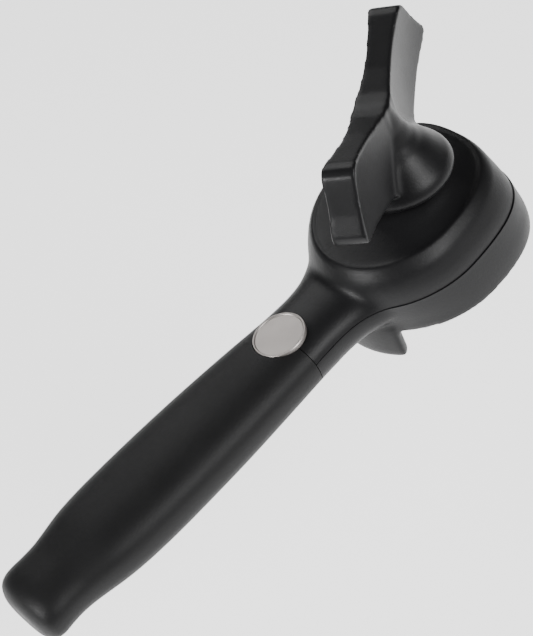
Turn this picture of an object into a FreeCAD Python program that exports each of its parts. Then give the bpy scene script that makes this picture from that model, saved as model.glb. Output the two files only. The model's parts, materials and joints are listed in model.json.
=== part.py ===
import FreeCAD, Part
import math
import os

import Sketcher
from FreeCAD import Placement, Rotation, Vector

# Manual can opener of the side-cutting kind.  +Z is up, the handle runs towards -X.
# The origin is on the underside of the base plate, where the rim of a can is nipped
# between the feed wheel (towards +X) and the cutter wheel (towards -X).  Millimetres.

DIMENSIONS = {
    # plan positions
    "drive_x": 7.0,
    "pivot_x": -11.5,
    "seam_end_x": -54.8,
    # heights of the housing
    "plate_thick": 2.0,
    "floor_top": 4.5,
    "seam_height": 16.2,
    "deck_under": 26.4,
    "deck_top": 33.4,
    "deck_edge": 28.6,
    "deck_foot_radius": 23.0,
    "deck_crown_radius": 14.0,
    "plate_centre": 5.2,
    "plate_half_length": 28.5,
    "plate_half_width": 28.0,
    "plate_corner": 22.0,
    "relief_gap": 0.3,
    "relief_depth": 0.5,
    "cavity_centre": 2.3,
    "cavity_half_length": 29.0,
    "cavity_half_width": 24.0,
    "cavity_corner": 21.0,
    # drive line
    "shaft_radius": 4.0,
    "running_gap": 0.05,
    "fit_gap": 0.2,
    "end_gap": 0.1,
    "bush_radius": 6.0,
    "bush_flange": 8.0,
    "bush_flange_thick": 1.4,
    "upper_bush_low": 23.0,
    "bush_boss": 8.4,
    "collar_radius": 6.0,
    "collar_top": 5.0,
    "pinion_low": 5.1,
    "pinion_top": 11.0,
    "clutch_washer_top": 11.9,
    "spring_top": 14.1,
    "ring_thick": 1.0,
    "groove_depth": 0.5,
    "shaft_top": 53.6,
    "hex_low": 39.6,
    "hex_radius": 4.4,
    # knob
    "hub_radius": 18.0,
    "hub_low": 35.0,
    "hub_waist": 37.1,
    "hub_bottom_radius": 16.8,
    "knob_turn": 32.5,
    "wing_thick": 10.2,
    "wing_top_inner": 64.9,
    "wing_top_outer": 73.6,
    "wing_reach_top": 36.2,
    "wing_reach_low": 46.4,
    "wing_low_outer": 53.4,
    "wing_low_inner": 43.1,
    "wing_foot": 15.0,
    # wheels
    "feed_radius": 6.5,
    "feed_low": -6.5,
    "feed_top": -1.0,
    "feed_teeth": 30,
    "feed_tooth_depth": 0.55,
    "screw_head": 3.4,
    "feed_screw_low": -8.3,
    "feed_screw_reach": 9.0,
    "flat_half": 3.2,
    "cutter_radius": 9.5,
    "cutter_low": -3.5,
    "cutter_top": -1.2,
    "cutter_edge": -2.1,
    "eccentricity": 2.2,
    "eccentric_angle": 190.0,
    "axle_radius": 3.0,
    "axle_thread": 2.0,
    "axle_head": 4.8,
    "axle_low": -5.4,
    "axle_top": 4.2,
    # gears
    "gear_module": 1.0,
    "pinion_teeth": 13,
    "carrier_teeth": 24,
    "backlash": 0.1,
    "journal_radius": 9.5,
    "journal_low": -0.2,
    "carrier_gear_low": 5.1,
    "carrier_gear_top": 10.6,
    "carrier_top": 12.0,
    "pivot_radius": 2.5,
    "pivot_low": 5.6,
    "boss_low": 12.3,
    "pivot_boss": 9.2,
    "pin_top": 22.0,
    "stop_radius": 1.4,
    "stop_ring": 6.6,
    "stop_low": 8.2,
    "stop_sweep": 170.0,
    # fasteners
    "screw_radius": 1.5,
    "screw_hole": 1.7,
    "screw_head_radius": 2.7,
    "screw_head_thick": 1.8,
    "screw_top": 18.0,
    "screw_boss": 3.6,
    "front_screw_x": 20.0,
    "front_screw_y": 14.0,
    "rear_screw_x": -16.0,
    "rear_screw_y": 18.5,
    "tongue_screw_x": -38.0,
    "tongue_screw_pitch": 9.0,
    "tongue_screw_top": 17.0,
    "tongue_seat": 7.0,
    "slot_half_length": 1.6,
    "slot_half_width": 0.35,
    # handle
    "core_half_width": 10.0,
    "core_half_height": 4.2,
    "core_corner": 3.0,
    "core_height": 13.8,
    "core_end": -148.0,
    "core_front": -36.0,
    "badge_half_length": 8.8,
    "badge_half_width": 8.6,
    "badge_x": -54.7,
    "badge_seat": 21.0,
    "badge_thick": 1.6,
    # nose under the rear of the skirt
    "nose_outer": 31.0,
    "nose_inner": 26.6,
    "nose_half_angle": 30.0,
    "nose_low": -9.6,
}

# Rounded outlines of the head, each: height, centre x, half length, half width, corner radius.
SKIRT_SECTIONS = {
    "skirt_foot": (1.0, 4.6, 34.0, 32.4, 26.0),
    "skirt_seam": (16.2, 1.3, 34.4, 30.8, 24.0),
}
HEAD_SECTIONS = {
    "head_seam": (16.2, 1.3, 34.4, 30.8, 24.0),
    "head_wall": (21.9, 1.8, 33.7, 29.0, 24.0),
    "head_shoulder": (25.7, 2.2, 32.1, 26.9, 23.5),
    "head_rim": (29.1, 2.8, 29.7, 24.0, 22.0),
}

# Oval cross-sections of the handle, each: x, centre height, half width, half height, side radius.
NECK_SECTIONS = {
    "neck_end": (-54.8, 13.3, 14.6, 8.9, 7.4),
    "neck_mid": (-44.0, 13.2, 14.3, 8.8, 7.4),
    "neck_root": (-34.0, 13.3, 15.6, 8.8, 7.4),
    "neck_inside": (-24.0, 13.6, 18.5, 8.8, 7.4),
}
GRIP_SECTIONS = {
    "grip_front": (-54.8, 13.3, 14.6, 8.9, 7.4),
    "grip_fore": (-70.0, 13.6, 15.7, 9.5, 7.9),
    "grip_mid": (-90.0, 13.8, 16.7, 9.9, 8.2),
    "grip_swell": (-118.0, 14.1, 17.3, 10.2, 8.5),
    "grip_aft": (-139.0, 14.5, 16.4, 9.8, 8.1),
    "grip_waist": (-151.0, 14.5, 14.0, 8.5, 7.0),
    "grip_flare": (-161.0, 14.4, 14.0, 8.4, 6.9),
    "grip_butt": (-166.0, 13.5, 12.9, 7.8, 6.4),
    "grip_tip": (-168.3, 12.7, 9.0, 5.2, 4.3),
}


class Dim:
    """A length that carries its number and the sheet expression that gives it."""

    def __init__(self, value, text):
        self.value = value
        self.text = text

    def join(self, other, sign, value, flip=False):
        other_text = other.text if isinstance(other, Dim) else repr(float(other))
        parts = (other_text, self.text) if flip else (self.text, other_text)
        return Dim(value, "(%s %s %s)" % (parts[0], sign, parts[1]))

    def __add__(self, other):
        return self.join(other, "+", self.value + number(other))

    def __radd__(self, other):
        return self.join(other, "+", number(other) + self.value, flip=True)

    def __sub__(self, other):
        return self.join(other, "-", self.value - number(other))

    def __rsub__(self, other):
        return self.join(other, "-", number(other) - self.value, flip=True)

    def __mul__(self, other):
        return self.join(other, "*", self.value * number(other))

    def __rmul__(self, other):
        return self.join(other, "*", number(other) * self.value, flip=True)

    def __truediv__(self, other):
        return self.join(other, "/", self.value / number(other))

    def __neg__(self):
        return -1.0 * self


def number(value):
    """The plain number of a Dim or of a number."""
    return value.value if isinstance(value, Dim) else float(value)


class Sheet:
    """The spreadsheet of driving dimensions, read back as attributes."""

    def __init__(self, doc):
        self.cells = doc.addObject("Spreadsheet::Sheet", "Dims")
        self.row = 0

    def add(self, alias, value):
        self.row += 1
        self.cells.set("A%d" % self.row, alias)
        self.cells.set("B%d" % self.row, str(value))
        self.cells.setAlias("B%d" % self.row, alias)
        setattr(self, alias, Dim(float(value), "Dims.%s" % alias))


doc = FreeCAD.newDocument("can_opener")
dims = Sheet(doc)
for alias, value in DIMENSIONS.items():
    dims.add(alias, value)
for table in (SKIRT_SECTIONS, HEAD_SECTIONS):
    for section, values in table.items():
        for field, value in zip(("height", "centre", "length", "width", "corner"), values):
            dims.add("%s_%s" % (section, field), value)
for table in (NECK_SECTIONS, GRIP_SECTIONS):
    for section, values in table.items():
        for field, value in zip(("station", "height", "width", "depth", "round"), values):
            dims.add("%s_%s" % (section, field), value)
doc.recompute()


# ---------------------------------------------------------------- bodies and sketches

def new_body(name, x=None, turn=None):
    """A body named after its piece, optionally set on a vertical axis and turned about it."""
    body = doc.addObject("PartDesign::Body", name)
    body.Label = name
    if x is not None:
        bind(body, "Placement.Base.x", x)
    if turn is not None:
        body.Placement = Placement(Vector(number(x), 0, 0), Rotation(Vector(0, 0, 1), number(turn)))
        body.setExpression("Placement.Rotation.Angle", turn.text)
    return body


def bind(thing, path, dim):
    """Drive a property from the sheet."""
    if isinstance(dim, Dim):
        thing.setExpression(path, dim.text)
    elif "." not in path:
        setattr(thing, path, dim)


def new_sketch(body, role, name, height=0.0, shift_x=None, shift_y=None):
    """A sketch on one of the body's own origin planes, moved along its normal by height."""
    sketch = body.newObject("Sketcher::SketchObject", name)
    plane = [item for item in body.Origin.OriginFeatures if item.Role == role][0]
    sketch.AttachmentSupport = (plane, [""])
    sketch.MapMode = "FlatFace"
    place = Vector(number(shift_x or 0), number(shift_y or 0), number(height))
    sketch.AttachmentOffset = Placement(place, Rotation())
    for axis, value in (("x", shift_x), ("y", shift_y), ("z", height)):
        if isinstance(value, Dim):
            sketch.setExpression("AttachmentOffset.Base.%s" % axis, value.text)
    return sketch


def fix_distance(sketch, kind, geometry, position, value):
    """Hold one point of a sketch at a driven distance from its origin, along X or Y."""
    rule = Sketcher.Constraint(kind, -1, 1, geometry, position, number(value))
    index = sketch.addConstraint(rule)
    if isinstance(value, Dim):
        sketch.setExpression("Constraints[%d]" % index, value.text)


def fix_point(sketch, geometry, position, x, y):
    """Hold one point of a sketch at driven distances from its origin."""
    for kind, axis, value in (("DistanceX", -2, x), ("DistanceY", -1, y)):
        if number(value) == 0.0:
            sketch.addConstraint(Sketcher.Constraint("PointOnObject", geometry, position, axis))
        else:
            fix_distance(sketch, kind, geometry, position, value)


def fix_radius(sketch, geometry, radius):
    index = sketch.addConstraint(Sketcher.Constraint("Radius", geometry, number(radius)))
    if isinstance(radius, Dim):
        sketch.setExpression("Constraints[%d]" % index, radius.text)


def polygon(sketch, points):
    """A closed outline through driven points."""
    corners = [Vector(number(x), number(y), 0) for x, y in points]
    first = sketch.GeometryCount
    count = len(corners)
    for index in range(count):
        sketch.addGeometry(Part.LineSegment(corners[index], corners[(index + 1) % count]), False)
    for index in range(count):
        follower = first + (index + 1) % count
        sketch.addConstraint(Sketcher.Constraint("Coincident", first + index, 2, follower, 1))
        fix_point(sketch, first + index, 1, *points[index])


def circle(sketch, radius, x=0.0, y=0.0):
    """A driven circle."""
    centre = Vector(number(x), number(y), 0)
    index = sketch.addGeometry(Part.Circle(centre, Vector(0, 0, 1), number(radius)), False)
    fix_point(sketch, index, 3, x, y)
    fix_radius(sketch, index, radius)


def rounded_rectangle(sketch, half_x, half_y, corner):
    """A driven rectangle about the sketch's origin, with round corners."""
    a, b, r = number(half_x), number(half_y), number(corner)
    sides = [((-a + r, b), (a - r, b)), ((a, b - r), (a, -b + r)),
             ((a - r, -b), (-a + r, -b)), ((-a, -b + r), (-a, b - r))]
    centres = [(a - r, b - r, 0.0), (a - r, -b + r, -90.0),
               (-a + r, -b + r, 180.0), (-a + r, b - r, 90.0)]
    for start, end in sides:
        sketch.addGeometry(Part.LineSegment(Vector(*start, 0), Vector(*end, 0)), False)
    for x, y, angle in centres:
        ring = Part.Circle(Vector(x, y, 0), Vector(0, 0, 1), r)
        low = math.radians(angle)
        sketch.addGeometry(Part.ArcOfCircle(ring, low, low + math.pi / 2), False)
    for index in range(4):
        arc = 4 + index
        following = (index + 1) % 4
        sketch.addConstraint(Sketcher.Constraint("Tangent", index, 2, arc, 2))
        sketch.addConstraint(Sketcher.Constraint("Tangent", arc, 1, following, 1))
        if index:
            sketch.addConstraint(Sketcher.Constraint("Equal", 4, arc))
    for index, kind in enumerate(("Horizontal", "Vertical", "Horizontal", "Vertical")):
        sketch.addConstraint(Sketcher.Constraint(kind, index))
    fix_radius(sketch, 4, corner)
    limits = ((0, "DistanceY", half_y), (1, "DistanceX", half_x),
              (2, "DistanceY", -half_y), (3, "DistanceX", -half_x))
    for line, kind, value in limits:
        fix_distance(sketch, kind, line, 1, value)


def oval(sketch, half_width, half_height, side):
    """A driven four-arc oval: small arcs at the sides, flat arcs above and below."""
    a, b, r = number(half_width), number(half_height), number(side)
    crown = (a * a + b * b - 2 * a * r) / (2 * (b - r))
    lean = math.atan2(crown - b, a - r)
    turn = Vector(0, 0, 1)
    arcs = [(Vector(a - r, 0, 0), r, -lean, lean),
            (Vector(0, b - crown, 0), crown, lean, math.pi - lean),
            (Vector(r - a, 0, 0), r, math.pi - lean, math.pi + lean),
            (Vector(0, crown - b, 0), crown, math.pi + lean, 2 * math.pi - lean)]
    for centre, radius, low, high in arcs:
        sketch.addGeometry(Part.ArcOfCircle(Part.Circle(centre, turn, radius), low, high), False)
    rise = half_width * half_width + half_height * half_height - 2.0 * half_width * side
    crown_dim = rise / (2.0 * (half_height - side))
    reach = (half_width - side) * crown_dim / (crown_dim - side)
    for arc, sign in ((0, 1.0), (2, -1.0)):
        fix_point(sketch, arc, 3, sign * (half_width - side), 0.0)
        fix_radius(sketch, arc, side)
        for end in (1, 2):
            fix_distance(sketch, "DistanceX", arc, end, sign * reach)
    for flat, before, after in ((1, 0, 2), (3, 2, 0)):
        sketch.addConstraint(Sketcher.Constraint("Coincident", before, 2, flat, 1))
        sketch.addConstraint(Sketcher.Constraint("Coincident", flat, 2, after, 1))
        fix_radius(sketch, flat, crown_dim)


# ---------------------------------------------------------------- features

def pad(body, sketch, length, both=False):
    feature = body.newObject("PartDesign::Pad", "Pad")
    feature.Profile = sketch
    bind(feature, "Length", length)
    feature.Midplane = both
    return feature


def pocket(body, sketch, depth, down=False):
    """Remove the sketched outline over a depth, upwards unless down is set."""
    before = None
    doc.recompute()
    if body.Shape and not body.Shape.isNull():
        before = body.Shape.Volume
    feature = body.newObject("PartDesign::Pocket", "Pocket")
    feature.Profile = sketch
    bind(feature, "Length", depth)
    feature.Reversed = not down
    doc.recompute()
    if before is not None and body.Shape.Volume > before - 1e-3:
        raise RuntimeError("the pocket in %s removes nothing" % body.Label)
    return feature


def revolve(body, sketch, name="Revolution", kind="PartDesign::Revolution"):
    feature = body.newObject(kind, name)
    feature.Profile = sketch
    feature.ReferenceAxis = (sketch, ["V_Axis"])
    feature.Angle = 360.0
    return feature


def turned(name, points, x=None, turn=None):
    """A body turned about its own vertical axis from a driven half profile."""
    body = new_body(name, x, turn)
    sketch = new_sketch(body, "XZ_Plane", name + "_profile")
    polygon(sketch, points)
    revolve(body, sketch)
    return body


def ring_points(inner, outer, low, high):
    return [(inner, low), (outer, low), (outer, high), (inner, high)]


def loft(body, sketches, name="Loft"):
    feature = body.newObject("PartDesign::AdditiveLoft", name)
    feature.Profile = sketches[0]
    feature.Sections = sketches[1:]
    feature.Ruled = False
    feature.Closed = False
    return feature


def head_loft(body, table, name):
    """The rounded wall of the head, lofted upwards through its outlines."""
    sketches = []
    for section in table:
        height, centre, length, width, corner = [
            getattr(dims, "%s_%s" % (section, field))
            for field in ("height", "centre", "length", "width", "corner")]
        sketch = new_sketch(body, "XY_Plane", "%s_%s" % (name, section), height, shift_x=centre)
        rounded_rectangle(sketch, length, width, corner)
        sketches.append(sketch)
    return loft(body, sketches, name)


def handle_loft(body, table, name):
    """A stretch of the handle, lofted through its oval sections."""
    sketches = []
    for section in table:
        station, height, width, depth, side = [
            getattr(dims, "%s_%s" % (section, field))
            for field in ("station", "height", "width", "depth", "round")]
        sketch = new_sketch(body, "YZ_Plane", "%s_%s" % (name, section), station, shift_y=height)
        oval(sketch, width, depth, side)
        sketches.append(sketch)
    return loft(body, sketches, name)


SCREW_PLACES = [(dims.front_screw_x, dims.front_screw_y), (dims.front_screw_x, -dims.front_screw_y),
                (dims.rear_screw_x, dims.rear_screw_y), (dims.rear_screw_x, -dims.rear_screw_y)]


TONGUE_PLACES = [(dims.tongue_screw_x, 0.0), (dims.tongue_screw_x - dims.tongue_screw_pitch, 0.0)]


def hollow_head(body, height, depth):
    """Cut the hollow inside the head upwards from a height."""
    sketch = new_sketch(body, "XY_Plane", "hollow", height, shift_x=dims.cavity_centre)
    rounded_rectangle(sketch, dims.cavity_half_length, dims.cavity_half_width, dims.cavity_corner)
    pocket(body, sketch, depth)


def cut_at_seam(body, down):
    """Remove everything on one side of the seam between the two housings."""
    sketch = new_sketch(body, "XY_Plane", "seam", dims.seam_height)
    reach = -dims.core_end / 2
    rounded_rectangle(sketch, reach, reach, dims.cavity_corner)
    pocket(body, sketch, dims.deck_top, down=down)


def gear_outline(sketch, teeth, phase):
    """A closed involute outline with 25 degree flanks; a tooth stands at the phase angle."""
    module = number(dims.gear_module)
    pressure = math.radians(25.0)
    pitch = module * teeth / 2.0
    base = pitch * math.cos(pressure)
    tip = pitch + 0.95 * module
    root = pitch - 1.2 * module
    half = math.pi / (2 * teeth) - number(dims.backlash) / (2 * pitch)

    def half_angle(radius):
        """Half the tooth's thickness at a radius, as an angle."""
        if radius <= base:
            return half + math.tan(pressure) - pressure
        angle = math.acos(base / radius)
        return half + math.tan(pressure) - pressure - (math.tan(angle) - angle)

    low = max(base, root)
    steps = [low + (tip - low) * step / 4.0 for step in range(5)]
    if root < base:
        steps = [root] + steps
    points = []
    for tooth in range(teeth):
        middle = phase + 2 * math.pi * tooth / teeth
        points += [(radius, middle - half_angle(radius)) for radius in steps]
        points += [(radius, middle + half_angle(radius)) for radius in reversed(steps)]
    corners = [Vector(r * math.cos(t), r * math.sin(t), 0) for r, t in points]
    for start, end in zip(corners, corners[1:] + corners[:1]):
        sketch.addGeometry(Part.LineSegment(start, end), False)


# ---------------------------------------------------------------- housing

def make_upper_housing():
    """Head shell, neck and the core that runs inside the grip."""
    body = new_body("upper_housing")
    head_loft(body, HEAD_SECTIONS, "Head")
    doc.recompute()
    handle_loft(body, NECK_SECTIONS, "Neck")
    doc.recompute()
    cut_at_seam(body, down=True)
    hollow_head(body, dims.seam_height, dims.deck_under - dims.seam_height)
    slope = []
    for name, height, radius in (("deck_foot", dims.deck_edge, dims.deck_foot_radius),
                                 ("deck_crown", dims.deck_top, dims.deck_crown_radius)):
        ring = new_sketch(body, "XY_Plane", name, height, shift_x=dims.drive_x)
        circle(ring, radius)
        slope.append(ring)
    loft(body, slope, "Deck")
    doc.recompute()
    core = new_sketch(body, "YZ_Plane", "core", dims.core_end, shift_y=dims.core_height)
    rounded_rectangle(core, dims.core_half_width, dims.core_half_height, dims.core_corner)
    pad(body, core, dims.core_front - dims.core_end)
    doc.recompute()
    bosses = new_sketch(body, "XY_Plane", "screw_bosses", dims.floor_top)
    for x, y in SCREW_PLACES:
        circle(bosses, dims.screw_boss, x, y)
    pad(body, bosses, dims.deck_under - dims.floor_top)
    doc.recompute()
    pivot = new_sketch(body, "XY_Plane", "pivot_boss", dims.boss_low)
    circle(pivot, dims.pivot_boss, dims.pivot_x, 0.0)
    pad(body, pivot, dims.deck_under - dims.boss_low)
    doc.recompute()
    sleeve = new_sketch(body, "XY_Plane", "bush_boss", dims.upper_bush_low)
    circle(sleeve, dims.bush_boss, dims.drive_x, 0.0)
    pad(body, sleeve, dims.deck_under - dims.upper_bush_low)
    doc.recompute()
    bore = new_sketch(body, "XY_Plane", "bush_bore", dims.upper_bush_low)
    circle(bore, dims.bush_radius, dims.drive_x, 0.0)
    pocket(body, bore, dims.deck_top - dims.upper_bush_low)
    seat = new_sketch(body, "XY_Plane", "bush_seat", dims.deck_top - dims.bush_flange_thick)
    circle(seat, dims.bush_flange, dims.drive_x, 0.0)
    pocket(body, seat, dims.bush_flange_thick)
    threads = new_sketch(body, "XY_Plane", "screw_threads", dims.floor_top)
    for x, y in SCREW_PLACES:
        circle(threads, dims.screw_radius, x, y)
    pocket(body, threads, dims.screw_top - dims.floor_top)
    pins = new_sketch(body, "XY_Plane", "pin_holes", dims.boss_low)
    circle(pins, dims.pivot_radius, dims.pivot_x, 0.0)
    circle(pins, dims.stop_radius, dims.pivot_x, dims.stop_ring)
    pocket(body, pins, dims.pin_top - dims.boss_low)
    tongue = new_sketch(body, "XY_Plane", "tongue_threads", dims.tongue_seat)
    for x, y in TONGUE_PLACES:
        circle(tongue, dims.screw_radius, x, y)
    pocket(body, tongue, dims.tongue_screw_top - dims.tongue_seat)
    pocket(body, badge_outline(body), dims.badge_seat)
    return body


def badge_outline(body):
    """Oval of the badge, drawn at the height of its seat."""
    sketch = new_sketch(body, "XY_Plane", "badge_outline", dims.badge_seat, shift_x=dims.badge_x)
    rounded_rectangle(sketch, dims.badge_half_length, dims.badge_half_width,
                      dims.badge_half_width - dims.fit_gap)
    return sketch


def make_lower_housing():
    """Skirt with its floor, tongue under the neck, and the nose that guides the can."""
    body = new_body("lower_housing")
    head_loft(body, SKIRT_SECTIONS, "Skirt")
    doc.recompute()
    handle_loft(body, NECK_SECTIONS, "Tongue")
    doc.recompute()
    cut_at_seam(body, down=False)
    core = new_sketch(body, "YZ_Plane", "core_clearance", dims.core_end, shift_y=dims.core_height)
    rounded_rectangle(core, dims.core_half_width, dims.core_half_height, dims.core_corner)
    pocket(body, core, dims.core_front - dims.core_end)
    nose = new_sketch(body, "XY_Plane", "nose", dims.nose_low)
    nose_outline(nose)
    pad(body, nose, dims.floor_top - dims.nose_low)
    doc.recompute()
    hollow_head(body, dims.floor_top, dims.seam_height)
    bosses = new_sketch(body, "XY_Plane", "boss_clearance", dims.floor_top)
    for x, y in SCREW_PLACES:
        circle(bosses, dims.screw_boss + dims.fit_gap, x, y)
    pocket(body, bosses, dims.seam_height)
    seat = new_sketch(body, "XY_Plane", "plate_seat", dims.plate_thick, shift_x=dims.plate_centre)
    rounded_rectangle(seat, dims.plate_half_length, dims.plate_half_width, dims.plate_corner)
    holes = new_sketch(body, "XY_Plane", "floor_holes", dims.floor_top)
    circle(holes, dims.bush_flange + 3 * dims.fit_gap, dims.drive_x, 0.0)
    circle(holes, dims.journal_radius + 3 * dims.fit_gap, dims.pivot_x, 0.0)
    for x, y in SCREW_PLACES:
        circle(holes, dims.screw_hole, x, y)
    tongue = new_sketch(body, "XY_Plane", "tongue_holes", dims.seam_height)
    for x, y in TONGUE_PLACES:
        circle(tongue, dims.screw_hole, x, y)
    heads = new_sketch(body, "XY_Plane", "tongue_heads", dims.tongue_seat)
    for x, y in TONGUE_PLACES:
        circle(heads, dims.screw_head_radius, x, y)
    pocket(body, seat, dims.plate_thick, down=True)
    pocket(body, holes, dims.floor_top, down=True)
    pocket(body, tongue, dims.seam_height, down=True)
    pocket(body, heads, dims.tongue_seat, down=True)
    return body


def nose_outline(sketch):
    """A curved bar along the rear of the skirt."""
    half = math.radians(number(dims.nose_half_angle))
    centre = Vector(0, 0, 0)
    arcs = []
    for radius in (dims.nose_outer, dims.nose_inner):
        ring = Part.Circle(centre, Vector(0, 0, 1), number(radius))
        arcs.append(Part.ArcOfCircle(ring, math.pi - half, math.pi + half))
    outer, inner = arcs
    for shape in (outer, inner, Part.LineSegment(outer.StartPoint, inner.StartPoint),
                  Part.LineSegment(outer.EndPoint, inner.EndPoint)):
        sketch.addGeometry(shape, False)
    for arc, start, end in ((0, 1, 2), (1, 1, 2)):
        sketch.addConstraint(Sketcher.Constraint("Coincident", arc, start, 2, arc + 1))
        sketch.addConstraint(Sketcher.Constraint("Coincident", arc, end, 3, arc + 1))
    for arc, radius in ((0, dims.nose_outer), (1, dims.nose_inner)):
        fix_point(sketch, arc, 3, 0.0, 0.0)
        fix_radius(sketch, arc, radius)


def make_handle_grip():
    """Soft sleeve moulded over the core."""
    body = new_body("handle_grip")
    handle_loft(body, GRIP_SECTIONS, "Grip")
    doc.recompute()
    core = new_sketch(body, "YZ_Plane", "core_pocket", dims.core_end, shift_y=dims.core_height)
    rounded_rectangle(core, dims.core_half_width, dims.core_half_height, dims.core_corner)
    pocket(body, core, dims.seam_end_x - dims.core_end)
    pocket(body, badge_outline(body), dims.badge_seat)
    return body


def make_badge():
    body = new_body("badge")
    pad(body, badge_outline(body), dims.badge_thick)
    return body


def make_base_plate():
    """Steel plate that rests on the rim of the can."""
    body = new_body("base_plate")
    sketch = new_sketch(body, "XY_Plane", "plate", 0.0, shift_x=dims.plate_centre)
    rounded_rectangle(sketch, dims.plate_half_length, dims.plate_half_width, dims.plate_corner)
    pad(body, sketch, dims.plate_thick)
    holes = new_sketch(body, "XY_Plane", "plate_holes", 0.0)
    circle(holes, dims.bush_radius, dims.drive_x, 0.0)
    circle(holes, dims.journal_radius + dims.running_gap, dims.pivot_x, 0.0)
    for x, y in SCREW_PLACES:
        circle(holes, dims.screw_hole, x, y)
    pocket(body, holes, dims.plate_thick)
    reliefs = new_sketch(body, "XY_Plane", "reliefs", 0.0)
    circle(reliefs, dims.feed_radius + dims.relief_gap, dims.drive_x, 0.0)
    shift_x, shift_y = eccentric()
    circle(reliefs, dims.cutter_radius + dims.relief_gap, dims.pivot_x + shift_x, shift_y)
    for x, y in SCREW_PLACES:
        circle(reliefs, dims.screw_head_radius + dims.relief_gap, x, y)
    pocket(body, reliefs, dims.relief_depth)
    return body


def make_upper_bush():
    inner = dims.shaft_radius + dims.running_gap
    flange_low = dims.deck_top - dims.bush_flange_thick
    return turned("upper_bush", [
        (inner, dims.upper_bush_low), (dims.bush_radius, dims.upper_bush_low),
        (dims.bush_radius, flange_low), (dims.bush_flange, flange_low),
        (dims.bush_flange, dims.deck_top), (inner, dims.deck_top)], dims.drive_x)


def make_lower_bush():
    inner = dims.shaft_radius + dims.running_gap
    flange_top = dims.plate_thick + dims.bush_flange_thick
    return turned("lower_bush", [
        (inner, 0.0), (dims.bush_radius, 0.0), (dims.bush_radius, dims.plate_thick),
        (dims.bush_flange, dims.plate_thick), (dims.bush_flange, flange_top),
        (inner, flange_top)], dims.drive_x)


def make_pins():
    turned("carrier_pivot_pin", [
        (0.0, dims.pivot_low), (dims.pivot_radius, dims.pivot_low),
        (dims.pivot_radius, dims.pin_top), (0.0, dims.pin_top)], dims.pivot_x)
    stop = turned("carrier_stop_pin", [
        (0.0, dims.stop_low), (dims.stop_radius, dims.stop_low),
        (dims.stop_radius, dims.pin_top), (0.0, dims.pin_top)], dims.pivot_x)
    bind(stop, "Placement.Base.y", dims.stop_ring)


def screw_group(name, places, head_low, head_top, tip):
    """Several identical pan-head screws, pointing up, kept as separate solids in one piece."""
    screws = []
    for index, (x, y) in enumerate(places):
        head = doc.addObject("Part::Cylinder", "%s_head_%d" % (name, index + 1))
        shank = doc.addObject("Part::Cylinder", "%s_shank_%d" % (name, index + 1))
        cross = [doc.addObject("Part::Box", "%s_slot_%d_%d" % (name, index + 1, arm)) for arm in (1, 2)]
        bind(head, "Radius", dims.screw_head_radius)
        bind(head, "Height", head_top - head_low)
        bind(shank, "Radius", dims.screw_radius)
        bind(shank, "Height", tip - head_top)
        for item, z in ((head, head_low), (shank, head_top)):
            bind(item, "Placement.Base.x", x)
            bind(item, "Placement.Base.y", y)
            bind(item, "Placement.Base.z", z)
        arms = ((cross[0], dims.slot_half_length, dims.slot_half_width),
                (cross[1], dims.slot_half_width, dims.slot_half_length))
        for item, half_x, half_y in arms:
            bind(item, "Length", 2 * half_x)
            bind(item, "Width", 2 * half_y)
            bind(item, "Height", dims.screw_head_thick)
            bind(item, "Placement.Base.x", x - half_x)
            bind(item, "Placement.Base.y", y - half_y)
            bind(item, "Placement.Base.z", head_low - dims.screw_head_thick / 2)
        whole = doc.addObject("Part::MultiFuse", "%s_blank_%d" % (name, index + 1))
        whole.Shapes = [head, shank]
        tool = doc.addObject("Part::MultiFuse", "%s_cross_%d" % (name, index + 1))
        tool.Shapes = cross
        cut = doc.addObject("Part::Cut", "%s_screw_%d" % (name, index + 1))
        cut.Base, cut.Tool = whole, tool
        screws.append(cut)
    group = doc.addObject("Part::Compound", name)
    group.Label = name
    group.Links = screws
    return group


def make_screws():
    seat = dims.relief_depth
    screw_group("housing_screws", SCREW_PLACES, seat - dims.screw_head_thick, seat, dims.screw_top)
    seat = dims.tongue_seat
    screw_group("tongue_screws", TONGUE_PLACES, seat - dims.screw_head_thick, seat, dims.tongue_screw_top)


# ---------------------------------------------------------------- drive line

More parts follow.
